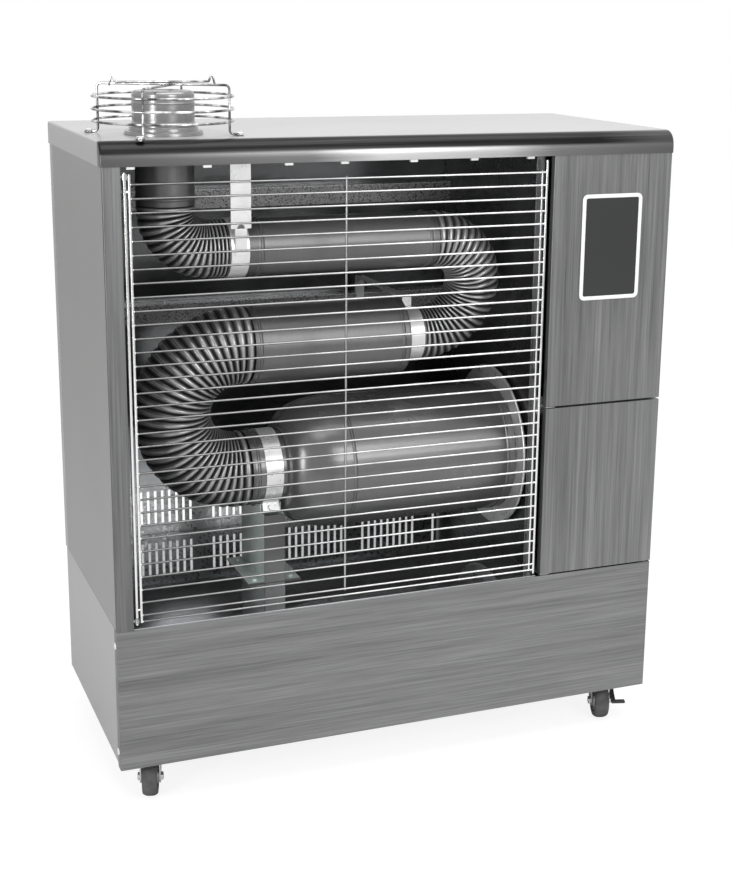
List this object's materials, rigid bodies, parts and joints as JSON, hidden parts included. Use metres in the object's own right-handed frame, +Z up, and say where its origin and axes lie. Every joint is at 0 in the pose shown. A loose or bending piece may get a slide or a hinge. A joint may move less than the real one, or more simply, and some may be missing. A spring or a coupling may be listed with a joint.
{
  "type": "fuel-fired infrared heater",
  "caption": "Sheet steel cabinet heater on casters: an oil burner fires a drum and a folded radiating pipe behind a wire grille, with a capped flue on the lid.",
  "frame": {"origin": "centre of the footprint, on the floor", "axes": "+X runs right across the front, the front faces -Y, +Z is up"},
  "size_m": [0.9034, 0.4155, 1.084],
  "materials": {
    "lid_white": "smooth gloss enamel, near white",
    "brushed_steel": "long horizontal or vertical brushing",
    "side_grey": "satin grey enamel",
    "galvanised": "spangled zinc",
    "mirror_sheet": "bright rolled sheet, dark from the bay's shadow",
    "pipe_grey": "satin heat-resistant grey",
    "pipe_dark": "crimped sheet, satin grey",
    "bright_zinc": "bright zinc plate",
    "chrome_wire": "bright chrome plated wire",
    "cap_white": "satin pale enamel",
    "display_white": "satin pale plastic",
    "display_dark": "dark smoked window",
    "board_green": "circuit board",
    "tank_paint": "black enamel",
    "plastic_black": "black plastic",
    "motor_grey": "grey painted casting",
    "copper_line": "drawn copper pipe",
    "tyre_black": "black rubber"
  },
  "bodies": {
    "cabinet": {"base_front_panel": "brushed_steel", "base_walls": "side_grey", "floor_pan": "galvanised", "left_side_panel": "side_grey", "right_side_panel": "side_grey", "left_stile": "brushed_steel", "back_panel": "galvanised", "lid": "lid_white", "ceiling_plate": "mirror_sheet", "bay_floor": "mirror_sheet", "burner_shelf": "galvanised", "partition_wall": "mirror_sheet", "left_lining": "mirror_sheet", "back_reflector": "mirror_sheet", "rear_rails": "galvanised", "lid_clips": "bright_zinc", "control_panel": "brushed_steel", "mid_rail": "galvanised", "display_bezel": "display_white", "display_glass": "display_dark", "control_board": "board_green", "flue_elbow": "pipe_dark", "right_elbow": "pipe_dark", "left_elbow": "pipe_dark", "top_pipe": "pipe_grey", "middle_pipe": "pipe_grey", "riser_pipe": "pipe_grey", "chamber_shell": "pipe_grey", "chamber_end_ring": "bright_zinc", "small_clamps": "bright_zinc", "neck_clamp": "bright_zinc", "hanging_strap": "bright_zinc", "pipe_arms": "galvanised", "chamber_stand": "galvanised", "flue_collar": "cap_white", "flue_cap": "cap_white", "flue_guard": "chrome_wire", "panel_screws": "bright_zinc", "grille_bushes": "bright_zinc", "fuel_tank": "tank_paint", "fuel_pump": "motor_grey", "fuel_lines": "copper_line", "blast_tube": "galvanised", "blower_housing": "motor_grey", "blower_motor": "motor_grey", "mains_inlet": "plastic_black", "caster_plates": "bright_zinc"},
    "grille": {"front_grille": "chrome_wire"},
    "service_door": {"lower_door": "brushed_steel"},
    "tank_cap": {"filler_cap": "plastic_black"},
    "fan_wheel": {"impeller": "galvanised"},
    "fork_front_left": {"caster_fork_front_left": "bright_zinc"},
    "wheel_front_left": {"caster_wheel_front_left": "tyre_black"},
    "fork_front_right": {"caster_fork_front_right": "bright_zinc"},
    "wheel_front_right": {"caster_wheel_front_right": "tyre_black"},
    "fork_rear_left": {"caster_fork_rear_left": "bright_zinc"},
    "wheel_rear_left": {"caster_wheel_rear_left": "tyre_black"},
    "fork_rear_right": {"caster_fork_rear_right": "bright_zinc"},
    "wheel_rear_right": {"caster_wheel_rear_right": "tyre_black"},
    "pedal": {"brake_pedal": "plastic_black"}
  },
  "joints": [
    {"name": "grille_hinge", "type": "hinge", "parent": "cabinet", "child": "grille", "pos_m": [-0.418, -0.2, 0.6], "axis": [0, 0, -1], "range_deg": [0, 100]},
    {"name": "door_hinge", "type": "hinge", "parent": "cabinet", "child": "service_door", "pos_m": [0.251, -0.199, 0.43], "axis": [0, 0, -1], "range_deg": [0, 95]},
    {"name": "tank_cap_turn", "type": "hinge", "parent": "cabinet", "child": "tank_cap", "pos_m": [0.404, -0.12, 0.32], "axis": [0, 0, 1], "range_deg": [0, 90]},
    {"name": "fan_spin", "type": "hinge", "parent": "cabinet", "child": "fan_wheel", "pos_m": [0.346, -0.035, 0.466], "axis": [0, 1, 0], "continuous": true},
    {"name": "swivel_front_left", "type": "hinge", "parent": "cabinet", "child": "fork_front_left", "pos_m": [-0.392, -0.152, 0.07], "axis": [0, 0, 1], "continuous": true},
    {"name": "roll_front_left", "type": "hinge", "parent": "fork_front_left", "child": "wheel_front_left", "pos_m": [-0.39785, -0.17113, 0.03], "axis": [0.9563, -0.2924, 0], "continuous": true},
    {"name": "swivel_front_right", "type": "hinge", "parent": "cabinet", "child": "fork_front_right", "pos_m": [0.392, -0.152, 0.07], "axis": [0, 0, 1], "continuous": true},
    {"name": "roll_front_right", "type": "hinge", "parent": "fork_front_right", "child": "wheel_front_right", "pos_m": [0.38615, -0.17113, 0.03], "axis": [0.9563, -0.2924, 0], "continuous": true},
    {"name": "swivel_rear_left", "type": "hinge", "parent": "cabinet", "child": "fork_rear_left", "pos_m": [-0.392, 0.152, 0.07], "axis": [0, 0, 1], "continuous": true},
    {"name": "roll_rear_left", "type": "hinge", "parent": "fork_rear_left", "child": "wheel_rear_left", "pos_m": [-0.39785, 0.13287, 0.03], "axis": [0.9563, -0.2924, 0], "continuous": true},
    {"name": "swivel_rear_right", "type": "hinge", "parent": "cabinet", "child": "fork_rear_right", "pos_m": [0.392, 0.152, 0.07], "axis": [0, 0, 1], "continuous": true},
    {"name": "roll_rear_right", "type": "hinge", "parent": "fork_rear_right", "child": "wheel_rear_right", "pos_m": [0.38615, 0.13287, 0.03], "axis": [0.9563, -0.2924, 0], "continuous": true},
    {"name": "brake_pedal_press", "type": "hinge", "parent": "fork_front_right", "child": "pedal", "pos_m": [0.39025, -0.15774, 0.05], "axis": [0.9563, -0.2924, 0], "range_deg": [0, 12]}
  ]
}
